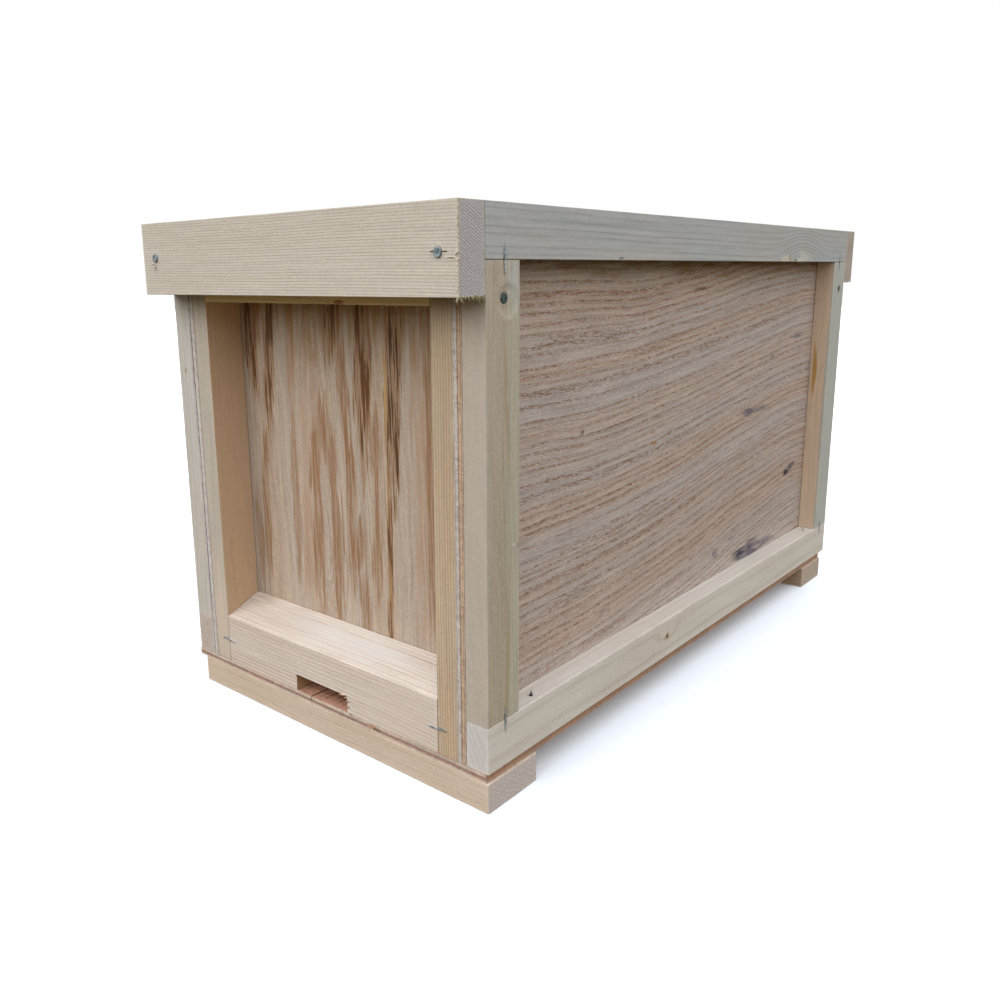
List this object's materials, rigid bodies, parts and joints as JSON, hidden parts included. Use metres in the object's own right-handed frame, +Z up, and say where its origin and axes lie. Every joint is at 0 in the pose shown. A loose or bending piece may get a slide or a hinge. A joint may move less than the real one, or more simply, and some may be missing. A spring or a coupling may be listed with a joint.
{
  "type": "nucleus hive box",
  "caption": "Small open-topped wooden hive box for frames: framed plywood walls, sloped entrance rail with a slot, end battens as hand holds, plywood floor on runners.",
  "frame": {"origin": "middle of the bounding box on the plane that the runners stand on", "axes": "+Z up, -Y towards the entrance end, +X towards the right-hand side seen from the entrance end"},
  "size_m": [0.2784, 0.5686, 0.33],
  "materials": {
    "batten_softwood": "planed bare softwood",
    "frame_softwood": "planed bare softwood",
    "runner_softwood": "planed bare softwood",
    "wall_plywood": "sanded bare veneer",
    "floor_plywood": "bare veneer",
    "galvanised_steel": "zinc coated",
    "staple_wire": "zinc coated wire"
  },
  "bodies": {
    "root": {"floor_panel": "floor_plywood", "front_runner": "runner_softwood", "rear_runner": "runner_softwood", "left_side_panel": "wall_plywood", "left_side_bottom_rail": "frame_softwood", "left_side_top_rail": "frame_softwood", "left_side_front_stile": "frame_softwood", "left_side_rear_stile": "frame_softwood", "right_side_panel": "wall_plywood", "right_side_bottom_rail": "frame_softwood", "right_side_top_rail": "frame_softwood", "right_side_front_stile": "frame_softwood", "right_side_rear_stile": "frame_softwood", "front_end_panel": "wall_plywood", "front_lug_rail": "frame_softwood", "front_batten": "batten_softwood", "front_end_left_stile": "frame_softwood", "front_end_right_stile": "frame_softwood", "rear_end_panel": "wall_plywood", "rear_lug_rail": "frame_softwood", "rear_batten": "batten_softwood", "rear_end_left_stile": "frame_softwood", "rear_end_right_stile": "frame_softwood", "entrance_rail": "frame_softwood", "rear_end_bottom_rail": "frame_softwood", "batten_nails": "galvanised_steel", "corner_nails": "galvanised_steel", "runner_nails": "galvanised_steel", "floor_nails": "galvanised_steel", "side_seam_staples": "staple_wire", "end_seam_staples": "staple_wire", "panel_staples": "staple_wire", "ledge_brads": "staple_wire"}
  },
  "joints": []
}
